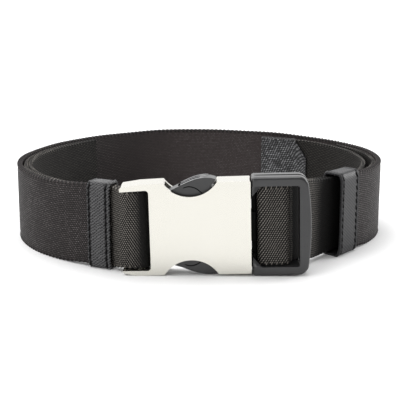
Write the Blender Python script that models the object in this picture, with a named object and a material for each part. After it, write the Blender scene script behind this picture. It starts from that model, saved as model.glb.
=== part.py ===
"""Nylon belt with a side-release buckle, fastened and standing on its edge.

The belt is a loop seen from above: x runs to the right, y away from the buckle, z up.
Sizes below are in millimetres and are scaled to metres as each mesh is made.
"""
import math

import bmesh
import bpy
import numpy as np
from mathutils import Matrix, Vector

MM = 0.001

# Webbing
STRAP_WIDTH = 40.0
STRAP_THICK = 2.6
WEBBING_WIDTH = 37.8
WEBBING_THICK = 2.1
FRAMED_WIDTH = 38.2
RECESSED_WIDTH = 37.2
PLY_GAP = 0.3
SELVAGE_BEVEL = 0.5

# Plan of the strap's outer face: a mean radius and four waves (cosine part, sine part)
LOOP_MEAN_RADIUS = 92.9
LOOP_WAVES = ((-0.9, 1.1), (4.15, 1.65), (0.6, -0.7), (1.0, 0.65))
PLAN_CENTRE = (0.15, -0.15)

# Places round the loop, in degrees anticlockwise from +x
STRAP_START, STRAP_END = -36.5, 237.5
LEFT_KEEPER = (234.9, 242.3)
RIGHT_KEEPER = (-41.2, -30.7)
LEFT_PLY_END = 138.0
LEFT_PLY_FRONT = (238.0, 243.2)
SEWN_PLY_END = 28.0
RIGHT_BULGE = 1.3
RIGHT_BULGE_RANGE = (22.0, -6.0, -8.0, -32.0)

# Heights of the centre lines, and where the strap starts to rise into each keeper
STRAP_CENTRE_Z = 20.0
KEEPER_CENTRE_Z = 21.3
TAIL_CENTRE_Z = 19.4
LEFT_RISE, RIGHT_RISE = 222.0, -20.0

# Free knots of the adjuster webbing: between the keeper and the frame, and near the free end
FRONT_PLY_KNOT = (54.5, -68.2, 22.8)
TAIL_PLY_KNOT = (51.9, -66.9, 22.8)
TAIL_LAST_KNOTS = ((53.1, 63.7), (40.1, 68.9))

# Leather
KEEPER_WALL = 1.0
KEEPER_HEIGHT = 42.6
KEEPER_CORNER = (2.5, 5.0)
KEEPER_MOUTH_EXTRA = 1.6
LEFT_KEEPER_INSETS = (-1.9, 8.9)
RIGHT_KEEPER_INSETS = (-1.9, 9.1)
CAP_LENGTH = 28.0
CAP_WALL = 0.9
CAP_OVERHANG = 0.6
CAP_CORNER_CUT = (9.0, 11.0)

# Buckle placing: u runs right along the front face, v up, w back from the front face
BUCKLE_FRONT_Y = -91.0
BUCKLE_CENTRE_Z = 23.15
BUCKLE_ROLL = math.radians(1.4)
BUCKLE_YAW = math.radians(-1.3)

# Buckle housing
HOUSING_LEFT, HOUSING_RIGHT = -37.0, 23.8
HOUSING_HEIGHT = 44.5
HOUSING_DEPTH = 12.5
ARM_TIPS = (-20.3, 20.1)
ARM_BENDS = ((-31.0, -22.4), (-28.0, 21.4), (-18.0, 21.8))
RECESS_RIGHT = -23.6
RECESS_V = (-20.1, 18.7)
RECESS_TOP_LEFT = 17.8
RECESS_MIDDLE = -0.95
SCALLOP_CENTRE_U = -4.4
SCALLOP_RADIUS = 15.2
SCALLOP_DEPTH = 7.0
FRONT_PLATE = 2.0
BACK_PLATE = 2.2
SOCKET_LEFT = -19.5
SOCKET_HEIGHT = 41.6
PIN_U, PIN_W, PIN_RADIUS = -29.0, 6.4, 2.0

# Buckle clip
FRAME_LEFT, FRAME_RIGHT = 24.2, 50.9
FRAME_BULGE = 1.2
FRAME_HEIGHT = 47.5
FRAME_FRONT, FRAME_BACK = 0.3, 12.3
FRAME_CORNER = 5.0
WINDOW_LEFT, WINDOW_RIGHT = 26.2, 46.6
WINDOW_HEIGHT = 39.0
OUTER_BAR_BACK = 9.5
INNER_BAR_FRONT = 5.0
INNER_LIP_RIGHT = 27.4
INNER_LIP_W = (10.2, 11.9)
GUSSET = ((24.5, 19.7), (28.8, 19.7), (24.5, 14.8))
GUSSET_W = (0.9, 2.2)
CENTRE_BAR_U = (28.9, 40.1)
CENTRE_BAR_W = (5.0, 8.0)
PRONG_W = (2.6, 9.7)
TONGUE_HALF_HEIGHT = 7.0
PAD_PROUD_TOP = 1.5
PAD_PROUD_BOTTOM = 0.6

# Mesh fineness
STATION_LENGTH = 7.0
STATION_TURN = math.radians(13.0)

STRAP_LOOK = ("nylon_strap", (0.052, 0.045, 0.043), 0.85, 0.0)
WEBBING_LOOK = ("nylon_webbing", (0.060, 0.052, 0.046), 0.85, 0.0)
LEATHER_LOOK = ("grained_leather", (0.055, 0.055, 0.058), 0.5, 0.0)
PALE_METAL_LOOK = ("pale_metal", (0.86, 0.84, 0.79), 0.3, 1.0)
DARK_METAL_LOOK = ("dark_metal", (0.070, 0.068, 0.068), 0.4, 0.6)


def clear_scene():
    for old in list(bpy.data.objects):
        bpy.data.objects.remove(old)


def material(look):
    name, colour, roughness, metallic = look
    found = bpy.data.materials.get(name)
    if found:
        return found
    made = bpy.data.materials.new(name)
    made.use_nodes = True
    shader = made.node_tree.nodes["Principled BSDF"]
    shader.inputs["Base Color"].default_value = (*colour, 1.0)
    shader.inputs["Roughness"].default_value = roughness
    shader.inputs["Metallic"].default_value = metallic
    return made


def new_object(name, mesh_builder, look=None):
    """Turns a bmesh in millimetres into a named object in metres, faces outward."""
    bmesh.ops.recalc_face_normals(mesh_builder, faces=mesh_builder.faces)
    bmesh.ops.scale(mesh_builder, vec=(MM, MM, MM), verts=mesh_builder.verts)
    mesh = bpy.data.meshes.new(name)
    mesh_builder.to_mesh(mesh)
    mesh_builder.free()
    made = bpy.data.objects.new(name, mesh)
    bpy.context.scene.collection.objects.link(made)
    if look:
        mesh.materials.append(material(look))
    return made


def add_bevel(target, width, segments, degrees):
    bevel = target.modifiers.new("rounded edges", "BEVEL")
    bevel.width = width * MM
    bevel.segments = segments
    bevel.limit_method = "ANGLE"
    bevel.angle_limit = math.radians(degrees)


def combine(target, tool, operation):
    tool.hide_render = True
    tool.display_type = "WIRE"
    step = target.modifiers.new(tool.name, "BOOLEAN")
    step.operation = operation
    step.solver = "EXACT"
    step.object = tool


def bake(target):
    """Keeps the finished shape of a piece as its own mesh and removes its tools."""
    tools = [step.object for step in target.modifiers if step.type == "BOOLEAN"]
    shape = bpy.data.meshes.new_from_object(target.evaluated_get(bpy.context.evaluated_depsgraph_get()))
    target.modifiers.clear()
    target.data = shape
    for tool in tools:
        bpy.data.objects.remove(tool)


# The loop in plan

def smooth_step(start, end, value):
    t = min(max((value - start) / (end - start), 0.0), 1.0)
    return t * t * (3.0 - 2.0 * t)


def right_bulge(degrees):
    """How far the right bend stands out beyond the waves."""
    start, full, fade, end = RIGHT_BULGE_RANGE
    return RIGHT_BULGE * smooth_step(start, full, degrees) * smooth_step(end, fade, degrees)


def loop_point(degrees, inset):
    """Point on the loop, moved toward its inside by inset along the loop's normal."""
    a = math.radians(degrees)
    radius = LOOP_MEAN_RADIUS
    slope = 0.0
    for order, (cosine, sine) in enumerate(LOOP_WAVES, start=1):
        radius += cosine * math.cos(order * a) + sine * math.sin(order * a)
        slope += order * (sine * math.cos(order * a) - cosine * math.sin(order * a))
    tangent = Vector((slope * math.cos(a) - radius * math.sin(a),
                      slope * math.sin(a) + radius * math.cos(a))).normalized()
    x = radius * math.cos(a) - inset * tangent.y - PLAN_CENTRE[0]
    y = radius * math.sin(a) + inset * tangent.x - PLAN_CENTRE[1]
    return x, y


def buckle_matrix():
    place = Matrix.Translation((-PLAN_CENTRE[0], BUCKLE_FRONT_Y - PLAN_CENTRE[1], BUCKLE_CENTRE_Z))
    turn = Matrix.Rotation(BUCKLE_YAW, 4, "Z") @ Matrix.Rotation(-BUCKLE_ROLL, 4, "Y")
    axes = Matrix(((1, 0, 0, 0), (0, 0, 1, 0), (0, 1, 0, 0), (0, 0, 0, 1)))
    return place @ turn @ axes


def buckle_point(u, w, v=0.0):
    """Knot in the buckle: x, y, z and the lean of the webbing there."""
    return (*(buckle_matrix() @ Vector((u, v, w))), -math.tan(BUCKLE_ROLL))


def spline(knots, pitch=0.25):
    """Natural cubic through the knots, by chord length, sampled about every pitch."""
    knots = np.array(knots, dtype=float)
    steps = np.linalg.norm(np.diff(knots, axis=0), axis=1)
    at = np.concatenate(([0.0], np.cumsum(steps)))
    count = len(knots)
    system = np.eye(count)
    bends = np.zeros_like(knots)
    for i in range(1, count - 1):
        before, after = steps[i - 1], steps[i]
        system[i, i - 1:i + 2] = before, 2.0 * (before + after), after
        bends[i] = 6.0 * ((knots[i + 1] - knots[i]) / after - (knots[i] - knots[i - 1]) / before)
    second = np.linalg.solve(system, bends)
    s = np.linspace(0.0, at[-1], int(at[-1] / pitch) + 2)
    i = np.clip(np.searchsorted(at, s, side="right") - 1, 0, count - 2)
    h = steps[i][:, None]
    a = (at[i + 1] - s)[:, None] / h
    b = 1.0 - a
    curve = a * knots[i] + b * knots[i + 1]
    return curve + ((a ** 3 - a) * second[i] + (b ** 3 - b) * second[i + 1]) * h * h / 6.0


def stations(curve):
    """Thins a fine curve: a station at every few millimetres, closer where it turns."""
    along = np.diff(curve, axis=0)
    length = np.linalg.norm(along, axis=1)
    heading = np.unwrap(np.arctan2(along[:, 1], along[:, 0]))
    turn = np.abs(np.diff(heading, prepend=heading[0]))
    effort = np.concatenate(([0.0], np.cumsum(np.hypot(length / STATION_LENGTH, turn / STATION_TURN))))
    wanted = np.linspace(0.0, effort[-1], int(math.ceil(effort[-1])) + 1)
    return np.column_stack([np.interp(wanted, effort, column) for column in curve.T])


# Routes of the centre lines, as knots of x, y, z and lean (sideways step per unit of height)

def height(degrees, start):
    """Height of a layer that rises from start, at its own level, into the keepers."""
    rise = smooth_step(LEFT_RISE, LEFT_KEEPER[0], degrees) + smooth_step(RIGHT_RISE, RIGHT_KEEPER[1], degrees)
    return start + (KEEPER_CENTRE_Z - start) * rise


def strap_route():
    knots = []
    for degrees in np.linspace(STRAP_START, STRAP_END, 56):
        inset = STRAP_THICK / 2 - right_bulge(degrees)
        knots.append((*loop_point(degrees, inset), height(degrees, STRAP_CENTRE_Z), 0.0))
    return spline(knots)


def left_ply_inset(degrees, ply):
    """Inset of the two plies inside the left bend, which stand off most at the side."""
    stand_off = 0.6 * smooth_step(LEFT_PLY_END, 180.0, degrees) * smooth_step(225.0, 190.0, degrees)
    to_front = (STRAP_THICK + PLY_GAP) * smooth_step(*LEFT_PLY_FRONT, degrees)
    base = STRAP_THICK + PLY_GAP + WEBBING_THICK / 2 + stand_off - to_front
    return base + ply * (WEBBING_THICK + PLY_GAP)


def buckle_webbing_route():
    """Out along the outer ply, round the pin and back along the inner ply."""
    wrap = PIN_RADIUS + PLY_GAP + WEBBING_THICK / 2
    angles = list(np.linspace(LEFT_PLY_END, LEFT_PLY_FRONT[1], 22))
    route = []
    for ply in (0, 1):
        route.append([(*loop_point(degrees, left_ply_inset(degrees, ply)), height(degrees, STRAP_CENTRE_Z),
                       0.0, WEBBING_WIDTH) for degrees in angles])
    round_pin = [(-34.0, PIN_W - wrap + 0.6)]
    round_pin += [(PIN_U + wrap * math.sin(a), PIN_W - wrap * math.cos(a))
                  for a in np.radians(np.linspace(0.0, 180.0, 9))]
    round_pin += [(-34.0, PIN_W + wrap - 0.6)]
    turn = [(*buckle_point(u, w, RECESS_MIDDLE), RECESSED_WIDTH) for u, w in round_pin]
    return spline(route[0] + turn + route[1][::-1])


def tail_inset(degrees):
    """Inset of the free end's centre line as it leaves the keeper and rounds the bend."""
    places = (-42.0, -28.0, -12.0, 0.0, 14.0, 26.0, 36.0, 44.0)
    insets = (6.5, 6.6, 7.7, 8.4, 8.3, 7.4, 6.4, 6.4)
    return float(np.interp(degrees, places, insets))


def adjuster_route():
    """From the sewn end round the bend, over the frame's bar and back to the free end.
    The knots have a fifth column, the webbing's width, which is squeezed in the frame."""
    half = WEBBING_THICK / 2
    bar_mid = sum(CENTRE_BAR_W) / 2
    wrap = (CENTRE_BAR_W[1] - CENTRE_BAR_W[0]) / 2 + PLY_GAP + half
    left_turn, right_turn = CENTRE_BAR_U[0] + 1.5, CENTRE_BAR_U[1] - 1.5
    knots = []
    for degrees in np.linspace(SEWN_PLY_END, RIGHT_KEEPER[0], 14):
        inset = STRAP_THICK + PLY_GAP + half - right_bulge(degrees)
        knots.append((*loop_point(degrees, inset), height(degrees, STRAP_CENTRE_Z), 0.0, WEBBING_WIDTH))
    knots.append((*FRONT_PLY_KNOT, 0.0, WEBBING_WIDTH))
    over = [(44.4, 10.6)]
    over += [(right_turn + wrap * math.sin(a), bar_mid - wrap * math.cos(a))
             for a in np.radians(np.linspace(100.0, 0.0, 5))]
    over += [(33.0, bar_mid - wrap)]
    over += [(left_turn - wrap * math.sin(a), bar_mid - wrap * math.cos(a))
             for a in np.radians(np.linspace(0.0, 180.0, 7))]
    over += [(34.5, bar_mid + wrap), (38.6, bar_mid + wrap + 0.2), (42.2, bar_mid + wrap + 2.9)]
    knots += [(*buckle_point(u, w), FRAMED_WIDTH) for u, w in over]
    knots.append((*TAIL_PLY_KNOT, 0.0, WEBBING_WIDTH))
    for degrees in np.linspace(RIGHT_KEEPER[0], 44.0, 14):
        knots.append((*loop_point(degrees, tail_inset(degrees)), height(degrees, TAIL_CENTRE_Z), 0.0,
                      WEBBING_WIDTH))
    knots += [(*place, TAIL_CENTRE_Z, 0.0, WEBBING_WIDTH) for place in TAIL_LAST_KNOTS]
    return spline(knots)


# Pieces of webbing and leather

def standing_strip(rows):
    """A strip one face thick that stands on its edge, from rows of x, y, z, lean and width."""
    builder = bmesh.new()
    for x, y, z, lean, width in rows:
        low = builder.verts.new((x - lean * width / 2, y, z - width / 2))
        high = builder.verts.new((x + lean * width / 2, y, z + width / 2))
        builder.edges.new((low, high))
    rungs = builder.edges[:]
    for near, far in zip(rungs, rungs[1:]):
        builder.faces.new((*near.verts, *reversed(far.verts)))
    return builder


def thicken(target, thickness, offset):
    solidify = target.modifiers.new("thickness", "SOLIDIFY")
    solidify.thickness = thickness * MM
    solidify.offset = offset
    solidify.use_even_offset = True


def with_width(curve, width):
    return np.column_stack((curve, np.full(len(curve), width)))


def ribbon(name, curve, thickness, look):
    made = new_object(name, standing_strip(stations(curve)), look)
    thicken(made, thickness, 0.0)
    add_bevel(made, SELVAGE_BEVEL, 1, 50.0)
    bake(made)
    return made


def rounded_section(width, height, corner, steps):
    """Closed outline of a rectangle whose corners are quarter ellipses."""
    outline = []
    rx, ry = corner
    for quarter in range(4):
        cx = (width / 2 - rx) * (1 if quarter in (0, 3) else -1)
        cy = (height / 2 - ry) * (1 if quarter in (0, 1) else -1)
        for k in range(steps + 1):
            a = math.radians(90.0 * (quarter + k / steps))
            outline.append((cx + rx * math.cos(a), cy + ry * math.sin(a)))
    return outline


def keeper(name, span, insets, extra_at_mouth):
    """Leather tube round the layers: a rounded section carried along the loop."""
    builder = bmesh.new()
    rings = []
    depth = insets[1] - insets[0]
    section = rounded_section(depth, KEEPER_HEIGHT, KEEPER_CORNER, 5)
    for t in np.linspace(0.0, 1.0, 6):
        degrees = span[0] + (span[1] - span[0]) * t
        verts = []
        for across, up in section:
            share = 0.5 - across / depth
            inset = insets[0] + depth * (1.0 - share) - extra_at_mouth * t * t * share
            verts.append(builder.verts.new((*loop_point(degrees, inset), KEEPER_HEIGHT / 2 + up)))
        rings.append([builder.edges.new(pair) for pair in zip(verts, verts[1:] + verts[:1])])
    for near, far in zip(rings, rings[1:]):
        bmesh.ops.bridge_loops(builder, edges=near + far)
    made = new_object(name, builder, LEATHER_LOOK)
    thicken(made, KEEPER_WALL, -1.0)
    bake(made)
    return made


def tip_cap():
    """Leather folded over the free end, cut back at the two corners of its open side."""
    curve = adjuster_route()[:, :2]
    steps = np.diff(curve, axis=0)
    lengths = np.concatenate(([0.0], np.cumsum(np.linalg.norm(steps, axis=1))))
    cut_along, cut_down = CAP_CORNER_CUT
    stand_off = WEBBING_THICK / 2 + PLY_GAP + CAP_WALL / 2
    along = np.concatenate((np.linspace(0.0, cut_along, 3), np.linspace(cut_along, CAP_LENGTH, 5)[1:]))
    middle = np.column_stack([np.interp(lengths[-1] - CAP_LENGTH + along, lengths, curve[:, k])
                              for k in (0, 1)])
    heading = np.column_stack([np.interp(lengths[-1] - CAP_LENGTH + along, lengths[1:], steps[:, k])
                               for k in (0, 1)])
    heading /= np.linalg.norm(heading, axis=1)[:, None]
    left = np.column_stack((-heading[:, 1], heading[:, 0])) * stand_off
    ends = [middle[-1] + math.cos(a) * left[-1] + math.sin(a) * stand_off * heading[-1]
            for a in np.radians(np.linspace(0.0, 180.0, 7)[1:-1])]
    route = np.vstack((middle + left, ends, (middle - left)[::-1]))
    full = WEBBING_WIDTH + CAP_OVERHANG
    cut = np.clip(1.0 - along / cut_along, 0.0, 1.0) * 2.0 * cut_down
    widths = np.concatenate((full - cut, [full] * len(ends), (full - cut)[::-1]))
    level = np.full(len(route), TAIL_CENTRE_Z)
    strip = standing_strip(np.column_stack((route, level, np.zeros(len(route)), widths)))
    cap = new_object("tip_cap", strip, LEATHER_LOOK)
    thicken(cap, CAP_WALL, 0.0)
    bake(cap)
    return cap


# Buckle

def rounded_corners(corners):
    """Outline from rows (u, v, radius): each corner with a radius becomes an arc."""
    outline = []
    for index, (u, v, radius) in enumerate(corners):
        here = Vector((u, v))
        if not radius:
            outline.append(here)
            continue
        before = (Vector(corners[index - 1][:2]) - here).normalized()
        after = (Vector(corners[(index + 1) % len(corners)][:2]) - here).normalized()
        half = before.angle(after) / 2
        centre = here + (before + after).normalized() * radius / math.sin(half)
        start = here + before * radius / math.tan(half) - centre
        end = here + after * radius / math.tan(half) - centre
        steps = max(2, int(round(math.degrees(start.angle(end)) / 18.0)))
        sweep = start.angle_signed(end)
        for k in range(steps + 1):
            outline.append(centre + Matrix.Rotation(-sweep * k / steps, 2) @ start)
    return outline


def prism(name, outline, w0, w1, look=None):
    """Outline on the buckle's u and v, carried back from depth w0 to w1."""
    builder = bmesh.new()
    face = builder.faces.new([builder.verts.new((u, v, w0)) for u, v in outline])
    grown = bmesh.ops.extrude_face_region(builder, geom=[face])["geom"]
    verts = [item for item in grown if isinstance(item, bmesh.types.BMVert)]
    bmesh.ops.translate(builder, vec=(0.0, 0.0, w1 - w0), verts=verts)
    bmesh.ops.transform(builder, matrix=buckle_matrix(), verts=builder.verts)
    return new_object(name, builder, look)


def block(name, u, v, w, look=None):
    corners = [(u[0], v[0]), (u[1], v[0]), (u[1], v[1]), (u[0], v[1])]
    return prism(name, corners, *w, look)


def upright_bar(name, u, v, w, radius, sides):
    """A round bar along v, from the low v to the high v, centred at u and w."""
    builder = bmesh.new()
    bmesh.ops.create_cone(builder, cap_ends=True, segments=sides, radius1=radius, radius2=radius,
                          depth=v[1] - v[0], matrix=Matrix.Translation((u, sum(v) / 2, w))
                          @ Matrix.Rotation(math.pi / 2, 4, "X"))
    bmesh.ops.transform(builder, matrix=buckle_matrix(), verts=builder.verts)
    return new_object(name, builder)


def scallop_cutter(name, side):
    """A round cutter that takes a shallow arc out of both plates at the top or bottom."""
    v = side * (HOUSING_HEIGHT / 2 - SCALLOP_DEPTH + SCALLOP_RADIUS)
    outline = [(SCALLOP_CENTRE_U + SCALLOP_RADIUS * math.cos(a), v + SCALLOP_RADIUS * math.sin(a))
               for a in np.linspace(0.0, 2.0 * math.pi, 72, endpoint=False)]
    return prism(name, outline, -3.0, HOUSING_DEPTH + 3.0)


def buckle_housing():
    half = HOUSING_HEIGHT / 2
    lower, bend, shoulder = ARM_BENDS
    corners = [(HOUSING_LEFT, ARM_TIPS[0] - 0.6, 1.0), (*lower, 6.0), (HOUSING_RIGHT, -half, 0.6),
               (HOUSING_RIGHT, half, 0.6), (*shoulder, 6.0), (*bend, 6.0), (HOUSING_LEFT, ARM_TIPS[1], 1.2)]
    housing = prism("buckle_housing", rounded_corners(corners), 0.0, HOUSING_DEPTH, PALE_METAL_LOOK)
    recess = [(HOUSING_LEFT - 5.0, RECESS_V[0], 0.0), (RECESS_RIGHT, RECESS_V[0], 1.6),
              (RECESS_RIGHT, RECESS_V[1], 1.6), (HOUSING_LEFT - 5.0, RECESS_TOP_LEFT, 0.0)]
    combine(housing, prism("recess", rounded_corners(recess), -3.0, HOUSING_DEPTH + 3.0), "DIFFERENCE")
    for name, side in (("top scallop", 1), ("bottom scallop", -1)):
        combine(housing, scallop_cutter(name, side), "DIFFERENCE")
    socket_w = (FRONT_PLATE, HOUSING_DEPTH - BACK_PLATE)
    socket_v = (-SOCKET_HEIGHT / 2, SOCKET_HEIGHT / 2)
    combine(housing, block("socket", (SOCKET_LEFT, HOUSING_RIGHT + 3.0), socket_v, socket_w), "DIFFERENCE")
    pin_v = (RECESS_V[0] - 1.0, RECESS_V[1] + 1.0)
    combine(housing, upright_bar("webbing pin", PIN_U, pin_v, PIN_W, PIN_RADIUS, 16), "UNION")
    add_bevel(housing, 0.45, 2, 60.0)
    bake(housing)
    return housing


def prong_outline(side, proud):
    """One sprung prong: a tapered tip, the finger pad that bulges out, and the root."""
    crest = HOUSING_HEIGHT / 2 + proud
    rows = [(WINDOW_LEFT - 0.4, 19.4, 0.0), (5.0, 19.4, 0.0), (7.0, 21.6, 0.0), (7.8, crest - 0.8, 0.0),
            (5.3, crest - 0.1, 0.0), (1.9, crest, 0.0), (-1.4, crest - 0.6, 0.0), (-4.8, crest - 1.8, 0.0),
            (-8.2, crest - 3.3, 0.0), (-13.0, 18.2, 2.0), (-18.4, 17.0, 0.8),
            (-18.4, 13.6, 0.8), (-8.0, 12.4, 3.0), (WINDOW_LEFT - 0.4, 13.2, 0.0)]
    outline = rounded_corners(rows)
    return [(u, side * v) for u, v in outline]


def frame_outline():
    """Frame from the front: round outer corners and a right side that bows outward."""
    half = FRAME_HEIGHT / 2
    straight = half - FRAME_CORNER
    bow = [(FRAME_RIGHT + FRAME_BULGE * (1.0 - (v / straight) ** 2), v)
           for v in np.linspace(-straight, straight, 9)]
    arc = [(FRAME_RIGHT - FRAME_CORNER + FRAME_CORNER * math.sin(a), -straight - FRAME_CORNER * math.cos(a))
           for a in np.radians(np.linspace(0.0, 80.0, 6))]
    lower = [(FRAME_LEFT, -half)] + arc
    return lower + bow + [(u, -v) for u, v in reversed(lower)]


def buckle_clip():
    clip = prism("buckle_clip", frame_outline(), FRAME_FRONT, FRAME_BACK, DARK_METAL_LOOK)
    add_bevel(clip, 1.3, 2, 50.0)
    half = WINDOW_HEIGHT / 2
    window = [(WINDOW_LEFT, -half, 0.6), (WINDOW_RIGHT, -half, 1.2),
              (WINDOW_RIGHT, half, 1.2), (WINDOW_LEFT, half, 0.6)]
    combine(clip, prism("window", rounded_corners(window), -3.0, FRAME_BACK + 3.0), "DIFFERENCE")
    beyond = FRAME_RIGHT + 5.0
    combine(clip, block("outer bar back", (WINDOW_RIGHT - 2.0, beyond), (-half, half),
                        (OUTER_BAR_BACK, FRAME_BACK + 3.0)), "DIFFERENCE")
    combine(clip, block("inner bar front", (FRAME_LEFT - 3.0, WINDOW_LEFT + 1.0), (-half, half),
                        (-3.0, INNER_BAR_FRONT)), "DIFFERENCE")
    combine(clip, block("inner bar lip", (FRAME_LEFT + 0.4, INNER_LIP_RIGHT), (-half - 0.5, half + 0.5),
                        INNER_LIP_W), "UNION")
    for name, side in (("top gusset", 1), ("bottom gusset", -1)):
        combine(clip, prism(name, [(u, side * v) for u, v in GUSSET], *GUSSET_W), "UNION")
    bar = block("centre bar", CENTRE_BAR_U, (-half - 1.0, half + 1.0), CENTRE_BAR_W)
    add_bevel(bar, 1.2, 2, 50.0)
    combine(clip, bar, "UNION")
    for name, side, proud in (("top prong", 1, PAD_PROUD_TOP), ("bottom prong", -1, PAD_PROUD_BOTTOM)):
        combine(clip, prism(name, prong_outline(side, proud), *PRONG_W), "UNION")
    tongue = [(WINDOW_LEFT - 0.4, -TONGUE_HALF_HEIGHT, 0.0), (WINDOW_LEFT - 0.4, TONGUE_HALF_HEIGHT, 0.0),
              (-10.0, TONGUE_HALF_HEIGHT - 1.0, 2.0), (-15.0, 2.5, 1.0),
              (-15.0, -2.5, 1.0), (-10.0, -TONGUE_HALF_HEIGHT + 1.0, 2.0)]
    combine(clip, prism("tongue", rounded_corners(tongue), *PRONG_W), "UNION")
    bake(clip)
    return clip


def main():
    clear_scene()
    ribbon("outer_strap", with_width(strap_route(), STRAP_WIDTH), STRAP_THICK, STRAP_LOOK)
    ribbon("buckle_webbing", buckle_webbing_route(), WEBBING_THICK, WEBBING_LOOK)
    ribbon("adjuster_webbing", adjuster_route(), WEBBING_THICK, WEBBING_LOOK)
    keeper("left_keeper", LEFT_KEEPER, LEFT_KEEPER_INSETS, 0.0)
    keeper("right_keeper", RIGHT_KEEPER[::-1], RIGHT_KEEPER_INSETS, KEEPER_MOUTH_EXTRA)
    tip_cap()
    buckle_housing()
    buckle_clip()


main()
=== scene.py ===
"""Nylon belt with a side-release buckle: woven straps, grained leather, two metals, plain studio.

Lengths are in millimetres until a mesh is made, which scales them to metres. Angles round the
loop are in degrees, anticlockwise from +x. The buckle's own axes are u to the right along its
front, v up and w back from its front face.
"""
import math

import bmesh
import bpy
import numpy as np
from mathutils import Matrix, Vector


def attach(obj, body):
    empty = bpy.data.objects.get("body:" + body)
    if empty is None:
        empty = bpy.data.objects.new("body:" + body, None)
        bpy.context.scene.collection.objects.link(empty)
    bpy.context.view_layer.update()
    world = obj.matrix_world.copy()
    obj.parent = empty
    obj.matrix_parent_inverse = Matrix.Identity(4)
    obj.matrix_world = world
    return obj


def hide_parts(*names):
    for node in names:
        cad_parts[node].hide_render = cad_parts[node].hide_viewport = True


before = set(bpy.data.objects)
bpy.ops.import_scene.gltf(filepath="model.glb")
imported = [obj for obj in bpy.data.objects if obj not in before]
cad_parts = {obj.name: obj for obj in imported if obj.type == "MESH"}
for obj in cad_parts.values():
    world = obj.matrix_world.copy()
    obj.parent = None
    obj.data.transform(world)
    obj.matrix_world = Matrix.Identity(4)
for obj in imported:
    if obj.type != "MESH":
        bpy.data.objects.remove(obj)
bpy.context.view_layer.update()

MM = 0.001

# Straps, as the solids have them, but wider at the keepers' mouths
STRAP_WIDTH, STRAP_THICK = 40.0, 2.6
WEBBING_WIDTH, WEBBING_THICK = 37.8, 2.1
FRAMED_WIDTH, RECESSED_WIDTH, KEEPER_MOUTH_WIDTH = 38.2, 37.2, 39.4
PLY_GAP = 0.3

# Plan of the strap's outer face: a mean radius and four waves (cosine part, sine part)
LOOP_MEAN_RADIUS = 92.9
LOOP_WAVES = ((-0.9, 1.1), (4.15, 1.65), (0.6, -0.7), (1.0, 0.65))
PLAN_CENTRE = (0.15, -0.15)

# Places round the loop. A bulge or slack rises from its first angle to its second and falls
# from its third to its fourth
STRAP_START, STRAP_END = -36.5, 237.5
LEFT_KEEPER, RIGHT_KEEPER = (234.9, 242.3), (-41.2, -30.7)
LEFT_PLY_END, SEWN_PLY_END, TAIL_PLY_END = 138.0, 28.0, 44.0
LEFT_PLY_FRONT = (238.0, 243.2)
LEFT_SLACK, LEFT_SLACK_RANGE = 0.6, (LEFT_PLY_END, 180.0, 190.0, 225.0)
RIGHT_BULGE, RIGHT_BULGE_RANGE = 1.3, (22.0, -6.0, -8.0, -32.0)

# Heights of the centre lines, and where the layers start to rise into each keeper
STRAP_CENTRE_Z, KEEPER_CENTRE_Z, TAIL_CENTRE_Z = 20.0, 21.3, 19.4
LEFT_RISE, RIGHT_RISE = 222.0, -20.0

# Knots of the routes: round the housing's pin, in the frame (u, w), in front of the right keeper
# (x, y, z), inside the right bend (angle, inset) and at the free end (x, y)
STRAP_KNOTS, LEFT_KNOTS, RIGHT_KNOTS = 56, 22, 14
PIN_LEAD_U, PIN_LEAD_EASE = -34.0, 0.6
FRAME_ENTRY, BAR_TURN_INSET, BAR_MIDDLE_U = (44.4, 10.6), 1.5, 33.0
BEHIND_BAR = ((34.5, 0.0), (38.6, 0.2), (42.2, 2.9))
FRONT_PLY_KNOT, TAIL_PLY_KNOT = (54.5, -68.2, 22.0), (51.9, -66.9, 22.8)
TAIL_INSETS = ((-42.0, 6.5), (-28.0, 6.6), (-12.0, 7.7), (0.0, 8.4),
               (14.0, 8.3), (26.0, 7.4), (36.0, 6.4), (44.0, 6.4))
TAIL_LAST_KNOTS = ((53.1, 63.7), (40.1, 68.9))

# Selvages: pitch and size of their turned yarns, where they start and are full in from the edge,
# the groove beside them, and how their raised turns stand out, with painted highlight on the turns
# and painted shade between them
STRAP_ROPE, WEBBING_ROPE, PLAIN_EDGE = (2.6, 0.2), (2.4, 0.16), (2.6, 0.0)
ROPE_LAG, ROPE_MIDDLE, ROPE_SWELL = 1.2, 0.3, 0.7
SELVAGE_RANGE, SELVAGE_REACH = (1.6, 0.3), 0.55
GROOVE_IN, GROOVE_RUN, GROOVE_DEPTH = 2.4, 0.5, 0.12
# Painted highlight on the selvages' turns and painted shade between them: height, sharpness and gap
SELVAGE_HIGHLIGHT_HEIGHT, SELVAGE_HIGHLIGHT_POWER, SELVAGE_SHADE_GAP = 1.8, 4, 0.8
STRAP_WAVE = 0.12
DRIFT_WAVES = ((1.0, 11.0, 0.0), (0.6, 6.1, 1.0))

# Painted shade in places that little light gets into: limits of x and of y, the run over which each
# fades in from the left, and its strength on the faces and on the selvages. Elsewhere it fades over
# the shared run set below them
PIN_PAINTED_SHADE = ((-32.5, -20.0), (-96.0, -74.0), 5.5, 1.0, 1.0)
SLOT_PAINTED_SHADE = ((41.5, 50.0), (-83.5, -76.0), 1.5, 1.0, 1.0)
KEEPER_PAINTED_SHADE = ((49.0, 80.0), (-76.0, -50.0), 12.0, 1.0, 1.0)
LEFT_INSIDE_PAINTED_SHADE = ((-110.0, -30.0), (-52.0, 95.0), 1.5, 0.78, 0.3)
LEFT_END_PAINTED_SHADE = ((-95.0, -30.0), (10.0, 95.0), 30.0, 0.0, 0.75)
RIGHT_INSIDE_PAINTED_SHADE = ((30.0, 110.0), (-50.0, 95.0), 1.5, 0.72, 0.45)
PAINTED_SHADE_FADE = 1.5

# Painted light makes the strap's inner side paler at the back: how much, and the run of x over
# which it turns so
PAINTED_LIGHT_INSIDE, PAINTED_LIGHT_RUN = 0.6, (-85.0, 0.0)

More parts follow.
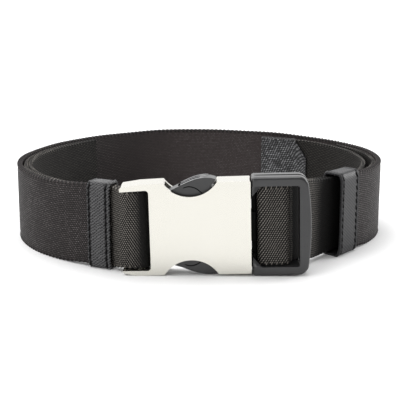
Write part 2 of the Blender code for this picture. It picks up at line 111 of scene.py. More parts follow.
# Keepers: wall, outline, how far they reach in from the strap's outer face, and their seams' places
# in from the far rim and from the mouth
KEEPER_WALL, KEEPER_HEIGHT, KEEPER_CORNER = 1.0, 42.6, (2.5, 5.0)
LEFT_KEEPER_INSETS, RIGHT_KEEPER_INSETS = (-1.9, 8.9), (-1.9, 9.1)
LEFT_MOUTH_EXTRA, RIGHT_MOUTH_EXTRA = 0.0, 1.6
LEFT_SEAMS, RIGHT_SEAMS = (0.9, 2.1), (1.8, 2.0)
MOUTH_BEAD, BEAD_EXTRA, RIM_ROUND = 0.8, 0.2, 0.4
BEAD_SWELL, RIM_SWELL, SWELL_RUN = 0.3, 0.12, 0.6
SEAM_DEPTH, SEAM_RUN = 0.32, 0.5
# Painted highlight along each keeper's top: where it fades in, by how far the outline's normal points up,
# and its strength
TOP_HIGHLIGHT_RANGE, TOP_HIGHLIGHT = (0.75, 0.98), 0.3

# Stitches: their pitch, share of the pitch, thickness, slant and depth, and how much of the
# keeper's outline from its middle outward has them
STITCH_PITCH, STITCH_SHARE, STITCH_THICK = 3.5, 0.8, 0.95
STITCH_SLANT, STITCH_SINK, STITCHED_FROM = 0.028, 0.1, 0.2
STITCH_RINGS, STITCH_SIDES = (25.0, 55.0, 90.0, 125.0, 155.0), 8

# Cap on the free end
CAP_LENGTH, CAP_WALL, CAP_OVERHANG = 28.0, 0.9, 0.6
CAP_CORNER_CUT = (9.0, 11.0)

# Buckle, as the solids have it, but with its pin's wrap 0.5 mm further right
BUCKLE_FRONT_Y, BUCKLE_CENTRE_Z = -91.0, 23.15
BUCKLE_ROLL, BUCKLE_YAW = math.radians(1.4), math.radians(-1.3)
HOUSING_HEIGHT, HOUSING_RIGHT, RECESS_MIDDLE = 44.5, 23.8, -0.95
INNER_BAR_U, INNER_BAR_V, INNER_BAR_W = 28.0, 19.6, 2.4
PIN_U, PIN_W, PIN_RADIUS = -28.5, 6.4, 2.0
CENTRE_BAR_U, CENTRE_BAR_W = (28.9, 40.1), (5.0, 8.0)
PRONG_W, PAD_PROUD = (2.6, 9.7), {1: 1.5, -1: 0.6}

# Line of painted shade along the frame's top, as in a groove: its height, ends, corner arc and section
FRAME_LINE_U, FRAME_LINE_V, FRAME_LINE_W = (25.6, 45.5), 23.75, 6.2
FRAME_CORNER_U, FRAME_CORNER_V, FRAME_CORNER_RADIUS = 45.9, 18.85, 4.9
FRAME_LINE_HALVES = (0.9, 0.1)

# Finger pads: the arc of the top as u and its drop below the crest, the ribs' beds of painted shade
# and ridges of painted highlight, and the crease of painted shade on the front as u and v
PAD_DROPS = ((7.8, 0.8), (5.3, 0.1), (1.9, 0.0), (-1.4, 0.6), (-4.8, 1.8), (-8.2, 3.3), (-11.6, 4.6))
RIB_BED_U, RIB_BED_INSET, RIB_BED_HALF_HIGH = (-10.0, 0.5), 0.05, 0.2
RIB_START_U, RIB_END_U, RIB_INSET, RIB_RAISE = -9.0, 1.5, 0.3, 0.18
RIB_HALVES, CREASE_HALVES = (0.2, 0.15), (0.12, 0.26)
CREASE_ARC = ((-7.6, 18.9), (-6.6, 19.3), (-5.0, 19.6), (-3.0, 19.3), (-1.2, 18.5), (0.2, 17.4), (1.6, 16.2))

# Fineness of the meshes, and the sharpest angles that are still shaded smooth
CURVE_PITCH, STATION_PITCH = 0.25, 0.5
FACE_POINTS, EDGE_POINTS = 26, 6
OUTLINE_STEP, CORNER_POINTS, HALF_TURN_POINTS = 1.0, 9, 9
KEEPER_FACE_POINTS, KEEPER_BACK_POINTS = 60, 12
BAR_SIDES, BAR_END = 12, 0.3
CLOTH_SMOOTH, METAL_SMOOTH = math.radians(50.0), math.radians(34.0)
WELD_REACH, FLAT_ANGLE = 2e-6, math.radians(0.3)

# Cloths: colours between the floats, on them (the weave's pattern, partly as painted highlight) and of
# the painted light on the selvages and inner side, how much the floats differ, the depth of the
# weave, and the weave's own values in mm and shares
STRAP_CLOTH = {"dark": (0.010, 0.009, 0.009), "light": (0.059, 0.048, 0.047),
               "selvage": (0.30, 0.283, 0.283), "variety": 0.55, "depth": 0.1,
               "Float_pitch": 1.05, "Row_pitch": 1.0, "Stagger": 0.42, "Slant": 0.5,
               "Along_thinness": 1.8, "Up_thinness": 1.3}
WEBBING_CLOTH = {"dark": (0.004, 0.0037, 0.0035), "light": (0.27, 0.248, 0.222),
                 "selvage": (0.22, 0.21, 0.195), "variety": 0.4, "depth": 0.14,
                 "Float_pitch": 1.15, "Row_pitch": 1.05, "Stagger": 0.5, "Slant": -0.6,
                 "Along_thinness": 4.5, "Up_thinness": 1.2}

# Leathers: colours in the valleys, on the ridges and where worn, and the grain's pitch, depth,
# wander and share in the tone
LEFT_LEATHER = {"dark": (0.003, 0.003, 0.004), "light": (0.105, 0.104, 0.106),
                "pitch": 1.2, "depth": 0.35, "wander": 1.7, "relief": 0.8}
RIGHT_LEATHER = {"dark": (0.008, 0.008, 0.009), "light": (0.032, 0.032, 0.034),
                 "pitch": 1.3, "depth": 0.05, "wander": 0.6, "relief": 0.4}
# Top of the leathers' ramp: the wear tone, and the painted highlight on the keepers' tops
WORN_AND_HIGHLIGHT_LEATHER = (0.20, 0.20, 0.205)
CAP_LATTICE = {"Float_pitch": 1.5, "Row_pitch": 1.2, "Stagger": 0.35, "Slant": -0.7,
               "Along_thinness": 1.6, "Up_thinness": 1.2}
CAP_DARK, CAP_WORN = (0.010, 0.010, 0.011), (0.30, 0.30, 0.31)
THREAD_DARK, THREAD_LIGHT = (0.002, 0.002, 0.002), (0.010, 0.010, 0.010)

# Metals: two near tones of each, and for the coated ones also roughness and specular level
PALE_DARK, PALE_LIGHT = (0.664, 0.650, 0.596), (0.676, 0.662, 0.609)
COATING = ((0.016, 0.016, 0.017), (0.026, 0.026, 0.027), 0.24, 0.6)
# A near black with no shine, as painted shade: behind the housing's edge, along the frame's top, under the
# pads' ribs and in their creases
PAINTED_SHADE_COATING = ((0.005, 0.005, 0.005), (0.008, 0.008, 0.008), 0.7, 0.0)
# A pale shiny coat, as painted highlight on the pads' ribs
RIDGE_HIGHLIGHT_COATING = ((0.50, 0.50, 0.51), (0.58, 0.58, 0.59), 0.35, 0.9)

# Camera, in mm: a 90 mm lens on a 36 mm frame, pitched down by CAMERA_PITCH degrees
CAMERA_PLACE = (-0.15, -540.85, 145.0)
CAMERA_PITCH = 13.5
CAMERA_LENS, CAMERA_FRAME = 90.0, 36.0

# Studio, in metres: sky, sun, floor, and soft boxes as name, place, aim, size and watts
SKY_STRENGTH, SUN_STRENGTH, SUN_SPREAD = 0.38, 2.8, 60.0
SUN_PLACE = (-0.35, 0.3, 1.6)
FLOOR_REACH, FLOOR_TONE = 12.0, 0.95
SOFTBOXES = (("backdrop", (0.0, 2.8, 0.9), (0.0, 0.0, 0.3), (5.0, 2.0), 28.0),
             ("key softbox", (-0.95, -1.0, 0.5), (0.0, -0.05, 0.02), (0.5, 0.5), 5.0),
             ("left softbox", (-1.2, 0.8, 0.5), (0.0, 0.0, 0.02), (0.7, 0.7), 2.5),
             ("right softbox", (1.3, 0.5, 0.5), (0.0, 0.0, 0.02), (0.7, 0.7), 13.0))


# Curves

def smooth_step(start, end, value):
    """0 before start, 1 after end, and 3t squared minus 2t cubed between them."""
    t = np.clip((value - start) / (end - start), 0.0, 1.0)
    return t * t * (3.0 - 2.0 * t)


def swell_between(degrees, size, start, full, fade, end):
    """Rises smoothly from 0 at start to size at full, and falls from fade to 0 at end."""
    return size * smooth_step(start, full, degrees) * smooth_step(end, fade, degrees)


def unit_rows(rows):
    """Each row divided by its own length."""
    return rows / np.linalg.norm(rows, axis=1)[:, None]


def quarter_turned(rows):
    """Each direction (x, y) turned left by a quarter, to (-y, x)."""
    return np.column_stack((-rows[:, 1], rows[:, 0]))


def loop_plan(degrees, inset):
    """Plan of the belt: a mean radius plus four cosine and sine waves of the angle, moved inward
    by inset along the normal. Works on whole arrays; gives x and y."""
    a = np.radians(degrees)
    radius = LOOP_MEAN_RADIUS + 0.0 * a
    slope = 0.0 * a
    for order, (cosine, sine) in enumerate(LOOP_WAVES, start=1):
        radius = radius + cosine * np.cos(order * a) + sine * np.sin(order * a)
        slope = slope + order * (sine * np.cos(order * a) - cosine * np.sin(order * a))
    tx = slope * np.cos(a) - radius * np.sin(a)
    ty = slope * np.sin(a) + radius * np.cos(a)
    size = np.hypot(tx, ty)
    x = radius * np.cos(a) - inset * ty / size - PLAN_CENTRE[0]
    y = radius * np.sin(a) + inset * tx / size - PLAN_CENTRE[1]
    return x, y


def buckle_matrix():
    """From u, v and w to the room: w lies along y and v along z, then comes the roll about y,
    the yaw about z, and the move to the buckle's place."""
    place = Matrix.Translation((-PLAN_CENTRE[0], BUCKLE_FRONT_Y - PLAN_CENTRE[1], BUCKLE_CENTRE_Z))
    turn = Matrix.Rotation(BUCKLE_YAW, 4, "Z") @ Matrix.Rotation(-BUCKLE_ROLL, 4, "Y")
    axes = Matrix(((1, 0, 0, 0), (0, 0, 1, 0), (0, 1, 0, 0), (0, 0, 0, 1)))
    return place @ turn @ axes


def buckle_places(u, v, w):
    """Places in the room of points given across, up and back from the buckle's front."""
    local = np.stack(np.broadcast_arrays(u, v, w, np.ones(1)), axis=-1)
    return (local @ np.array(buckle_matrix()).T)[..., :3]


def buckle_knot(u, w, width, v=0.0):
    """A route's knot in the buckle: its place in the room, the lean of the roll, and the width."""
    return (*buckle_places(u, v, w).reshape(3), -math.tan(BUCKLE_ROLL), width)


def spline(knots):
    """Natural cubic through the knots by chord length: each stretch blends its two knots and
    their second derivatives, which one linear system gives."""
    knots = np.array(knots, dtype=float)
    steps = np.linalg.norm(np.diff(knots, axis=0), axis=1)
    at = np.concatenate(([0.0], np.cumsum(steps)))
    slopes = np.diff(knots, axis=0) / steps[:, None]
    inner = np.arange(1, len(knots) - 1)
    system = np.eye(len(knots))
    system[inner, inner - 1] = steps[:-1]
    system[inner, inner] = 2.0 * (steps[:-1] + steps[1:])
    system[inner, inner + 1] = steps[1:]
    bends = np.zeros_like(knots)
    bends[inner] = 6.0 * np.diff(slopes, axis=0)
    second = np.linalg.solve(system, bends)
    s = np.linspace(0.0, at[-1], int(at[-1] / CURVE_PITCH) + 2)
    i = np.clip(np.searchsorted(at, s, side="right") - 1, 0, len(knots) - 2)
    h = steps[i][:, None]
    a = (at[i + 1] - s)[:, None] / h
    b = 1.0 - a
    curve = a * knots[i] + b * knots[i + 1]
    return curve + ((a ** 3 - a) * second[i] + (b ** 3 - b) * second[i + 1]) * h * h / 6.0


def arc_lengths(curve):
    """The sum, up to each point, of the lengths of the curve's steps in plan."""
    steps = np.linalg.norm(np.diff(curve[:, :2], axis=0), axis=1)
    return np.concatenate(([0.0], np.cumsum(steps)))


def even_stations(curve):
    """The curve at even arc lengths: places, unit headings in plan, and the lengths."""
    lengths = arc_lengths(curve)
    s = np.linspace(0.0, lengths[-1], int(lengths[-1] / STATION_PITCH) + 2)
    places = np.column_stack([np.interp(s, lengths, curve[:, k]) for k in range(curve.shape[1])])
    return places, unit_rows(np.gradient(places[:, :2], axis=0)), s


# Routes of the straps, as knots of x, y, z, lean (sideways step per unit of height) and width

def loop_knots(degrees, inset, z, width):
    """Upright knots at angles round the loop, inset from the strap's outer face."""
    x, y = loop_plan(degrees, inset)
    return [tuple(row) for row in np.column_stack(np.broadcast_arrays(x, y, z, 0.0, width))]


def height(degrees, start):
    """Height of a layer that rises smoothly from its own level to the keepers' middle."""
    rise = (smooth_step(LEFT_RISE, LEFT_KEEPER[0], degrees)
            + smooth_step(RIGHT_RISE, RIGHT_KEEPER[1], degrees))
    return start + (KEEPER_CENTRE_Z - start) * rise


def strap_route():
    """Round the back from the right keeper to the left one, half a thickness inside the plan,
    less the bulge at the right."""
    degrees = np.linspace(STRAP_START, STRAP_END, STRAP_KNOTS)
    inset = STRAP_THICK / 2 - swell_between(degrees, RIGHT_BULGE, *RIGHT_BULGE_RANGE)
    return spline(loop_knots(degrees, inset, height(degrees, STRAP_CENTRE_Z), STRAP_WIDTH))


def left_ply_inset(degrees, ply):
    """Inset of ply 0 or 1 inside the left bend: the layers outside it and half its own thickness,
    plus the slack, less the step out to the front where the strap has ended."""
    slack = swell_between(degrees, LEFT_SLACK, *LEFT_SLACK_RANGE)
    to_front = (STRAP_THICK + PLY_GAP) * smooth_step(*LEFT_PLY_FRONT, degrees)
    base = STRAP_THICK + PLY_GAP + WEBBING_THICK / 2 + slack - to_front
    return base + ply * (WEBBING_THICK + PLY_GAP)


def buckle_webbing_route():
    """Out along the outer ply, round the pin and back along the inner ply."""
    wrap = PIN_RADIUS + PLY_GAP + WEBBING_THICK / 2
    degrees = np.linspace(LEFT_PLY_END, LEFT_PLY_FRONT[1], LEFT_KNOTS)
    width = WEBBING_WIDTH + (KEEPER_MOUTH_WIDTH - WEBBING_WIDTH) * smooth_step(*LEFT_PLY_FRONT, degrees)
    plies = [loop_knots(degrees, left_ply_inset(degrees, ply), height(degrees, STRAP_CENTRE_Z), width)
             for ply in (0, 1)]
    round_pin = [(PIN_LEAD_U, PIN_W - wrap + PIN_LEAD_EASE)]
    round_pin += [(PIN_U + wrap * math.sin(a), PIN_W - wrap * math.cos(a))
                  for a in np.radians(np.linspace(0.0, 180.0, HALF_TURN_POINTS))]
    round_pin += [(PIN_LEAD_U, PIN_W + wrap - PIN_LEAD_EASE)]
    turn = [buckle_knot(u, w, RECESSED_WIDTH, RECESS_MIDDLE) for u, w in round_pin]
    return spline(plies[0] + turn + plies[1][::-1])


def adjuster_route():
    """From the sewn end round the bend, over the frame's bar and back to the free end."""
    half = WEBBING_THICK / 2
    bar_mid = sum(CENTRE_BAR_W) / 2
    wrap = (CENTRE_BAR_W[1] - CENTRE_BAR_W[0]) / 2 + PLY_GAP + half
    left_turn, right_turn = CENTRE_BAR_U[0] + BAR_TURN_INSET, CENTRE_BAR_U[1] - BAR_TURN_INSET
    degrees = np.linspace(SEWN_PLY_END, RIGHT_KEEPER[0], RIGHT_KNOTS)
    inset = STRAP_THICK + PLY_GAP + half - swell_between(degrees, RIGHT_BULGE, *RIGHT_BULGE_RANGE)
    knots = loop_knots(degrees, inset, height(degrees, STRAP_CENTRE_Z), WEBBING_WIDTH)
    knots.append((*FRONT_PLY_KNOT, 0.0, KEEPER_MOUTH_WIDTH))
    over = [FRAME_ENTRY]
    over += [(right_turn + wrap * math.sin(a), bar_mid - wrap * math.cos(a))
             for a in np.radians(np.linspace(100.0, 0.0, 5))]
    over += [(BAR_MIDDLE_U, bar_mid - wrap)]
    over += [(left_turn - wrap * math.sin(a), bar_mid - wrap * math.cos(a))
             for a in np.radians(np.linspace(0.0, 180.0, 7))]
    over += [(u, bar_mid + wrap + back) for u, back in BEHIND_BAR]
    knots += [buckle_knot(u, w, FRAMED_WIDTH) for u, w in over]
    knots.append((*TAIL_PLY_KNOT, 0.0, WEBBING_WIDTH))
    degrees = np.linspace(RIGHT_KEEPER[0], TAIL_PLY_END, RIGHT_KNOTS)
    inset = np.interp(degrees, *zip(*TAIL_INSETS))
    knots += loop_knots(degrees, inset, height(degrees, TAIL_CENTRE_Z), WEBBING_WIDTH)
    knots += [(*place, TAIL_CENTRE_Z, 0.0, WEBBING_WIDTH) for place in TAIL_LAST_KNOTS]
    return spline(knots)


# Meshes

def placed(name, data):
    """A new object of the given data, in the scene."""
    made = bpy.data.objects.new(name, data)
    bpy.context.scene.collection.objects.link(made)
    return made


def new_piece(name, verts, polygons, uvs, material, nodes=(), marks=None):
    """Mesh from arrays: verts n by 3 in mm, polygons a list of index arrays, uvs one row for each
    corner in metres, marks one value for each point. A closed mesh whose faces point inward, so
    that the sum of a . (b x c) over them is below 0, is turned over first."""
    counts = np.concatenate([np.full(len(block), block.shape[1]) for block in polygons])
    corners = np.concatenate([block.ravel() for block in polygons])
    starts = np.concatenate(([0], np.cumsum(counts)[:-1]))
    quads = polygons[0]
    a, b, c, d = (verts[quads[:, k]] for k in range(4))
    volume = sum(np.einsum("ij,ij->i", a, np.cross(p, q)).sum() for p, q in ((b, c), (c, d)))
    if volume < 0.0:
        order = np.concatenate([np.arange(s + n - 1, s - 1, -1) for s, n in zip(starts, counts)])
        corners, uvs = corners[order], uvs[order]
    mesh = bpy.data.meshes.new(name)
    mesh.vertices.add(len(verts))
    mesh.vertices.foreach_set("co", (verts * MM).ravel())
    mesh.loops.add(len(corners))
    mesh.loops.foreach_set("vertex_index", corners.astype(np.int32))
    mesh.polygons.add(len(counts))
    mesh.polygons.foreach_set("loop_start", starts.astype(np.int32))
    mesh.polygons.foreach_set("use_smooth", np.ones(len(counts), dtype=bool))
    mesh.uv_layers.new(name="cloth").data.foreach_set("uv", uvs.ravel())
    if marks is not None:
        mesh.attributes.new("mark", "FLOAT", "POINT").data.foreach_set("value", marks.astype(np.float32))
    mesh.update(calc_edges=True)
    mesh.validate()
    mesh.set_sharp_from_angle(angle=CLOTH_SMOOTH)
    mesh.materials.append(material)
    made = placed(name, mesh)
    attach(made, "root")
    if nodes:
        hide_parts(*nodes)
    return made


def grid_quads(rows, cols, wrap_rows, wrap_cols):
    """Four corners of each cell of a rows by cols grid, and the same corners on a grid that has
    one more row or column where it wraps, for UVs."""
    r = np.arange(rows if wrap_rows else rows - 1)[:, None]
    c = np.arange(cols if wrap_cols else cols - 1)[None, :]
    corners = ((r, c), (r, c + 1), (r + 1, c + 1), (r + 1, c))
    on_mesh = [(i % rows) * cols + j % cols for i, j in corners]
    wide = cols + wrap_cols
    on_map = [i * wide + j for i, j in corners]
    return (np.stack(np.broadcast_arrays(*on_mesh), -1).reshape(-1, 4),
            np.stack(np.broadcast_arrays(*on_map), -1).reshape(-1, 4))


def end_faces(rows, cols):
    """The two many-sided faces that close a grid which wraps round, at its first and last row."""
    return np.stack((np.arange(cols)[::-1], (rows - 1) * cols + np.arange(cols)))


# Straps

def strip_profile(half_width, half_thick):
    """Section of a strap: two straight faces joined by two selvages, each half an ellipse. Gives
    the across and up parts and how near each point is to a selvage, from 0 to 1."""
    reach = SELVAGE_REACH * half_thick
    straight = half_width - reach
    up = np.linspace(-straight, straight, FACE_POINTS)
    turn = np.linspace(0.0, np.pi, EDGE_POINTS + 2)[1:-1]
    across = np.concatenate((np.full(FACE_POINTS, half_thick), half_thick * np.cos(turn),
                             np.full(FACE_POINTS, -half_thick), -half_thick * np.cos(turn)))
    upward = np.concatenate((up, straight + reach * np.sin(turn), up[::-1],
                             -straight - reach * np.sin(turn)))
    start, full = SELVAGE_RANGE
    return across, upward, smooth_step(half_width - start, half_width - full, np.abs(upward))


def strap_marks(places, twist, across, edge, painted_shades, painted_light_inside):
    """The marks of a strap's points. On a selvage they are painted highlight on the turned yarns and
    painted shade between: a height times a power of the twist from 0 to 1, less a gap. In a hollow they
    blend towards -1, painted shade, and on the inner side painted light is added along its run of x."""
    marks = edge * (SELVAGE_HIGHLIGHT_HEIGHT * (0.5 + 0.5 * twist) ** SELVAGE_HIGHLIGHT_POWER - SELVAGE_SHADE_GAP)
    x, y = places[:, 0:1], places[:, 1:2]
    # Painted shade: inside each zone the marks blend towards -1.
    for (x0, x1), (y0, y1), fade, on_face, on_selvage in painted_shades:
        inside = (smooth_step(x0, x0 + fade, x) * smooth_step(x1, x1 - PAINTED_SHADE_FADE, x)
                  * smooth_step(y0, y0 + PAINTED_SHADE_FADE, y) * smooth_step(y1, y1 - PAINTED_SHADE_FADE, y))
        inside = inside * (on_face + (on_selvage - on_face) * edge)
        marks = marks * (1.0 - inside) - inside
    # Painted light on the inner side, away from the selvages, rising along its run of x.
    return marks + painted_light_inside * smooth_step(*PAINTED_LIGHT_RUN, x) * (across > 0.0) * (1.0 - edge)


def strap_piece(name, route, thick, rope, material, node, wave=0.0, painted_shades=(), painted_light_inside=0.0):
    """A flat section carried along the route. Its point is the route's place, plus the left
    normal times the across part, plus the leaning upright times the up part. The selvages swell
    and rise with a sine of the length, as turned yarns do, a groove runs beside them, and the
    height drifts by wave times slow sines and the square of the up part."""
    rope_pitch, rope_size = rope
    places, heading, s = even_stations(route)
    width = places[:, 4:5]
    half = float(width.max()) / 2
    across, up, edge = strip_profile(half, thick / 2)
    normal = np.column_stack((quarter_turned(heading), np.zeros(len(s))))
    upright = np.column_stack((places[:, 3], np.zeros(len(s)), np.ones(len(s))))
    lag = ROPE_LAG * np.sign(across) * (np.abs(across) > ROPE_MIDDLE)
    twist = np.sin(2.0 * np.pi * s[:, None] / rope_pitch + lag)
    rope_wave = twist * edge
    groove = GROOVE_DEPTH * np.exp(-((half - GROOVE_IN - np.abs(up)) / GROOVE_RUN) ** 2) * (rope_size > 0.0)
    slow = sum(size * np.sin(s / run + phase) for size, run, phase in DRIFT_WAVES)
    drift = wave * slow[:, None] * (up / half) ** 2
    across_now = across * (1.0 - groove + ROPE_SWELL * rope_size * rope_wave)
    up_now = up * width / (2.0 * half) + np.sign(up) * rope_size * rope_wave + drift
    points = (places[:, None, :3] + normal[:, None, :] * across_now[..., None]
              + upright[:, None, :] * up_now[..., None])
    rows, cols = across_now.shape
    quads, on_map = grid_quads(rows, cols, False, True)
    side = np.concatenate((up, up[:1]))
    uv_grid = np.stack(np.broadcast_arrays(s[:, None] * MM, side * MM), -1).reshape(-1, 2)
    end_uv = np.stack((np.zeros((2, cols)), up * MM * np.ones((2, 1))), -1).reshape(-1, 2)
    uvs = np.concatenate((uv_grid[on_map.ravel()], end_uv))
    marks = strap_marks(places, twist, across, edge, painted_shades, painted_light_inside)
    return new_piece(name, points.reshape(-1, 3), [quads, end_faces(rows, cols)], uvs, material,
                     (node,), marks.ravel())


# Leather keepers

def stitch_row(name, centres, along, outward, material):
    """Short threads: each is a sphere drawn out along its row, with rings and two poles. Point =
    centre + along * half length * cos(a) + (side, outward) * half thickness * sin(a) to the 0.6."""
    count, rings, sides = len(centres), len(STITCH_RINGS), STITCH_SIDES
    length = STITCH_PITCH * STITCH_SHARE
    side = np.cross(along, outward)
    a = np.radians(STITCH_RINGS)
    b = np.linspace(0.0, 2.0 * np.pi, sides, endpoint=False)
    ring = (np.cos(b)[:, None] * side[:, None, None, :] + np.sin(b)[:, None] * outward[:, None, None, :])
    body = (centres[:, None, None, :] + along[:, None, None, :] * (np.cos(a) * length / 2)[:, None, None]
            + ring * (np.sin(a) ** 0.6 * STITCH_THICK / 2)[:, None, None])
    poles = centres[:, None, :] + along[:, None, :] * (np.array([1.0, -1.0]) * length / 2)[:, None]
    pole, last_ring = rings * sides, (rings - 1) * sides
    verts = np.concatenate((body.reshape(count, pole, 3), poles), axis=1).reshape(-1, 3)
    quads, _ = grid_quads(rings, sides, False, True)
    spin = np.arange(sides)
    ahead = (spin + 1) % sides
    fans = np.concatenate((np.stack((np.full(sides, pole), ahead, spin), -1),
                           np.stack((np.full(sides, pole + 1), last_ring + spin, last_ring + ahead), -1)))
    shift = (np.arange(count) * (pole + 2))[:, None, None]
    all_quads = (quads + shift).reshape(-1, 4)
    all_fans = (fans + shift).reshape(-1, 3)
    uvs = np.zeros((all_quads.size + all_fans.size, 2))
    return new_piece(name, verts, [all_quads, all_fans], uvs, material)


def keeper_outline(shape):
    """Rectangle with quarter-ellipse corners, as rows of across, up and the outward normal, and
    the length round to each point and back to the first."""
    parts = []
    rx, ry = KEEPER_CORNER
    hw, hh = (shape[1][1] - shape[1][0]) / 2 - rx, KEEPER_HEIGHT / 2 - ry
    corners = ((hw, hh, 0.0), (-hw, hh, 90.0), (-hw, -hh, 180.0), (hw, -hh, 270.0))
    for index, (cx, cy, first) in enumerate(corners):
        a = np.radians(np.linspace(first, first + 90.0, CORNER_POINTS))
        normal = unit_rows(np.column_stack((np.cos(a) * ry, np.sin(a) * rx)))
        parts.append(np.column_stack((cx + rx * np.cos(a), cy + ry * np.sin(a), normal)))
        nx, ny, _ = corners[(index + 1) % 4]
        reach = math.hypot(nx - cx, ny - cy)
        t = np.linspace(0.0, 1.0, int(reach / OUTLINE_STEP) + 2)[1:-1, None]
        parts.append(parts[-1][-1] + t * np.array((nx - cx, ny - cy, 0.0, 0.0)))
    outline = np.concatenate(parts)
    closed = np.concatenate((outline, outline[:1]))
    return outline, np.concatenate(([0.0], np.cumsum(np.hypot(*np.diff(closed[:, :2], axis=0).T))))


def keeper_place(shape, across, up, t):
    """Places of points on a keeper: across from the stack's middle, up, and t from 0 at the far
    rim to 1 at the mouth. The angle round the loop grows with t; the front wall swells by t squared."""
    (first, last), (outer, inner), mouth_extra = shape
    share = 0.5 - across / (inner - outer)
    inset = outer + (inner - outer) * (1.0 - share) - mouth_extra * t * t * share
    x, y = loop_plan(first + (last - first) * t, inset)
    return np.stack(np.broadcast_arrays(x, y, KEEPER_HEIGHT / 2 + up), -1)


def keeper_length(shape):
    """The straight distance between the two ends of a keeper's outer face."""
    first, last = (np.array(loop_plan(np.array(a), np.array(shape[1][0]))) for a in shape[0])
    return float(np.linalg.norm(last - first))


def keeper_piece(node, shape, seams, material):
    """Wall section carried round the rounded outline: out along the face, round the bead of the
    mouth, back along the inside and round the far rim. The face sinks at each seam by a bell
    curve and swells at both ends. Marks are above 0 in the seams and below 0 on the top, where they
    are a painted highlight."""
    outline, around = keeper_outline(shape)
    length = keeper_length(shape)
    straight, half = length - MOUTH_BEAD, KEEPER_WALL / 2
    turn = np.radians(np.linspace(90.0, -90.0, HALF_TURN_POINTS)[1:-1])
    face = np.linspace(0.0, straight, KEEPER_FACE_POINTS)
    back = np.linspace(straight, 0.0, KEEPER_BACK_POINTS)
    seam = sum(np.exp(-((face - place) / SEAM_RUN) ** 2) for place in seams)
    swell = (BEAD_SWELL * np.exp(-((face - length + MOUTH_BEAD) / SWELL_RUN) ** 2)
             + RIM_SWELL * np.exp(-(face / SWELL_RUN) ** 2))
    sections = [
        np.column_stack((face, swell - SEAM_DEPTH * seam)),
        np.column_stack((straight + MOUTH_BEAD * np.cos(turn), -half + (half + BEAD_EXTRA) * np.sin(turn))),
        np.column_stack((back, np.full(len(back), -KEEPER_WALL))),
        np.column_stack((-RIM_ROUND * np.cos(turn), -half - half * np.sin(turn))),
    ]
    wall = np.concatenate(sections)
    across = outline[:, 0][:, None] + outline[:, 2][:, None] * wall[:, 1]
    up = outline[:, 1][:, None] + outline[:, 3][:, None] * wall[:, 1]
    points = keeper_place(shape, across, up, wall[:, 0] / length)
    rows, cols = across.shape
    quads, on_map = grid_quads(rows, cols, True, True)
    along = np.concatenate((wall[:, 0], wall[:1, 0]))
    uv_grid = np.stack(np.broadcast_arrays(along * MM, around[:, None] * MM), -1).reshape(-1, 2)
    dark = np.concatenate((np.clip(seam, 0.0, 1.0), np.zeros(cols - len(face))))
    # Painted highlight on the keeper's top: marks below 0 there lift the leather's tone.
    on_top = smooth_step(*TOP_HIGHLIGHT_RANGE, outline[:, 3:4])
    marks = dark[None, :] * (1.0 - on_top) - TOP_HIGHLIGHT * on_top
    return new_piece(f"{node}_leather", points.reshape(-1, 3), [quads], uv_grid[on_map.ravel()], material,
                     (node,), marks.ravel())


def keeper_stitches(node, shape, seams, material):
    """Threads in each seam of a keeper, set evenly along the outline of its outer side. Each
    takes up its share of the pitch, slants a little across the seam and lies a little sunk."""
    outline, around = keeper_outline(shape)
    length = keeper_length(shape)
    front = outline[:, 0] < -STITCHED_FROM * (shape[1][1] - shape[1][0])
    path, run = outline[front], around[:-1][front]
    count = int((run[-1] - run[0]) / STITCH_PITCH)
    at = np.linspace(run[0], run[-1], count + 2)[1:-1]
    across, up, side, rise = (np.interp(at, run, path[:, k]) for k in range(4))
    rows = []
    for seam in seams:
        t = seam / length
        here = keeper_place(shape, across, up, t)
        outward = keeper_place(shape, across + side, up + rise, t) - here
        ahead = keeper_place(shape, across + rise, up - side, t + STITCH_SLANT) - here
        outward = unit_rows(outward)
        rows.append((here - STITCH_SINK * outward, unit_rows(ahead), outward))
    centres, along, outward = (np.concatenate(part) for part in zip(*rows))
    return stitch_row(f"{node}_stitches", centres, along, outward, material)


# Leather cap on the free end

def cap_route():
    """Down one side of the free end, round it in a half circle and back along the other side.
    The width is full, less twice the corner cut, which shrinks evenly to nothing along its run."""
    curve = adjuster_route()
    lengths = arc_lengths(curve)
    places, heading, s = even_stations(curve[lengths > lengths[-1] - CAP_LENGTH])
    stand_off = WEBBING_THICK / 2 + PLY_GAP + CAP_WALL / 2
    left = quarter_turned(heading) * stand_off
    a = np.radians(np.linspace(0.0, 180.0, 13)[1:-1])[:, None]
    end = places[-1, :2] + np.cos(a) * left[-1] + np.sin(a) * stand_off * heading[-1]
    cut_along, cut_down = CAP_CORNER_CUT
    full = WEBBING_WIDTH + CAP_OVERHANG
    width = full - 2.0 * cut_down * np.clip(1.0 - s / cut_along, 0.0, 1.0)
    plan = np.vstack((places[:, :2] + left, end, (places[:, :2] - left)[::-1]))
    widths = np.concatenate((width, np.full(len(end), full), width[::-1]))
    count = len(plan)
    return np.column_stack((plan, np.full(count, TAIL_CENTRE_Z), np.zeros(count), widths))


# Metal pieces

def smooth_copy(node, name, material):
    """The node's own shape with its corners joined, shaded smooth over the rounded edges."""
    builder = bmesh.new()
    builder.from_mesh(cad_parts[node].data)
    bmesh.ops.remove_doubles(builder, verts=builder.verts, dist=WELD_REACH)
    bmesh.ops.dissolve_limit(builder, angle_limit=FLAT_ANGLE, verts=builder.verts, edges=builder.edges)
    mesh = bpy.data.meshes.new(name)
    builder.to_mesh(mesh)
    builder.free()
    mesh.polygons.foreach_set("use_smooth", np.ones(len(mesh.polygons), dtype=bool))
    mesh.set_sharp_from_angle(angle=METAL_SMOOTH)
    mesh.materials.clear()
    mesh.materials.append(material)
    made = placed(name, mesh)
    weighted = made.modifiers.new("flat faces stay flat", "WEIGHTED_NORMAL")
    weighted.keep_sharp = True
    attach(made, "root")
    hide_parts(node)
    return made


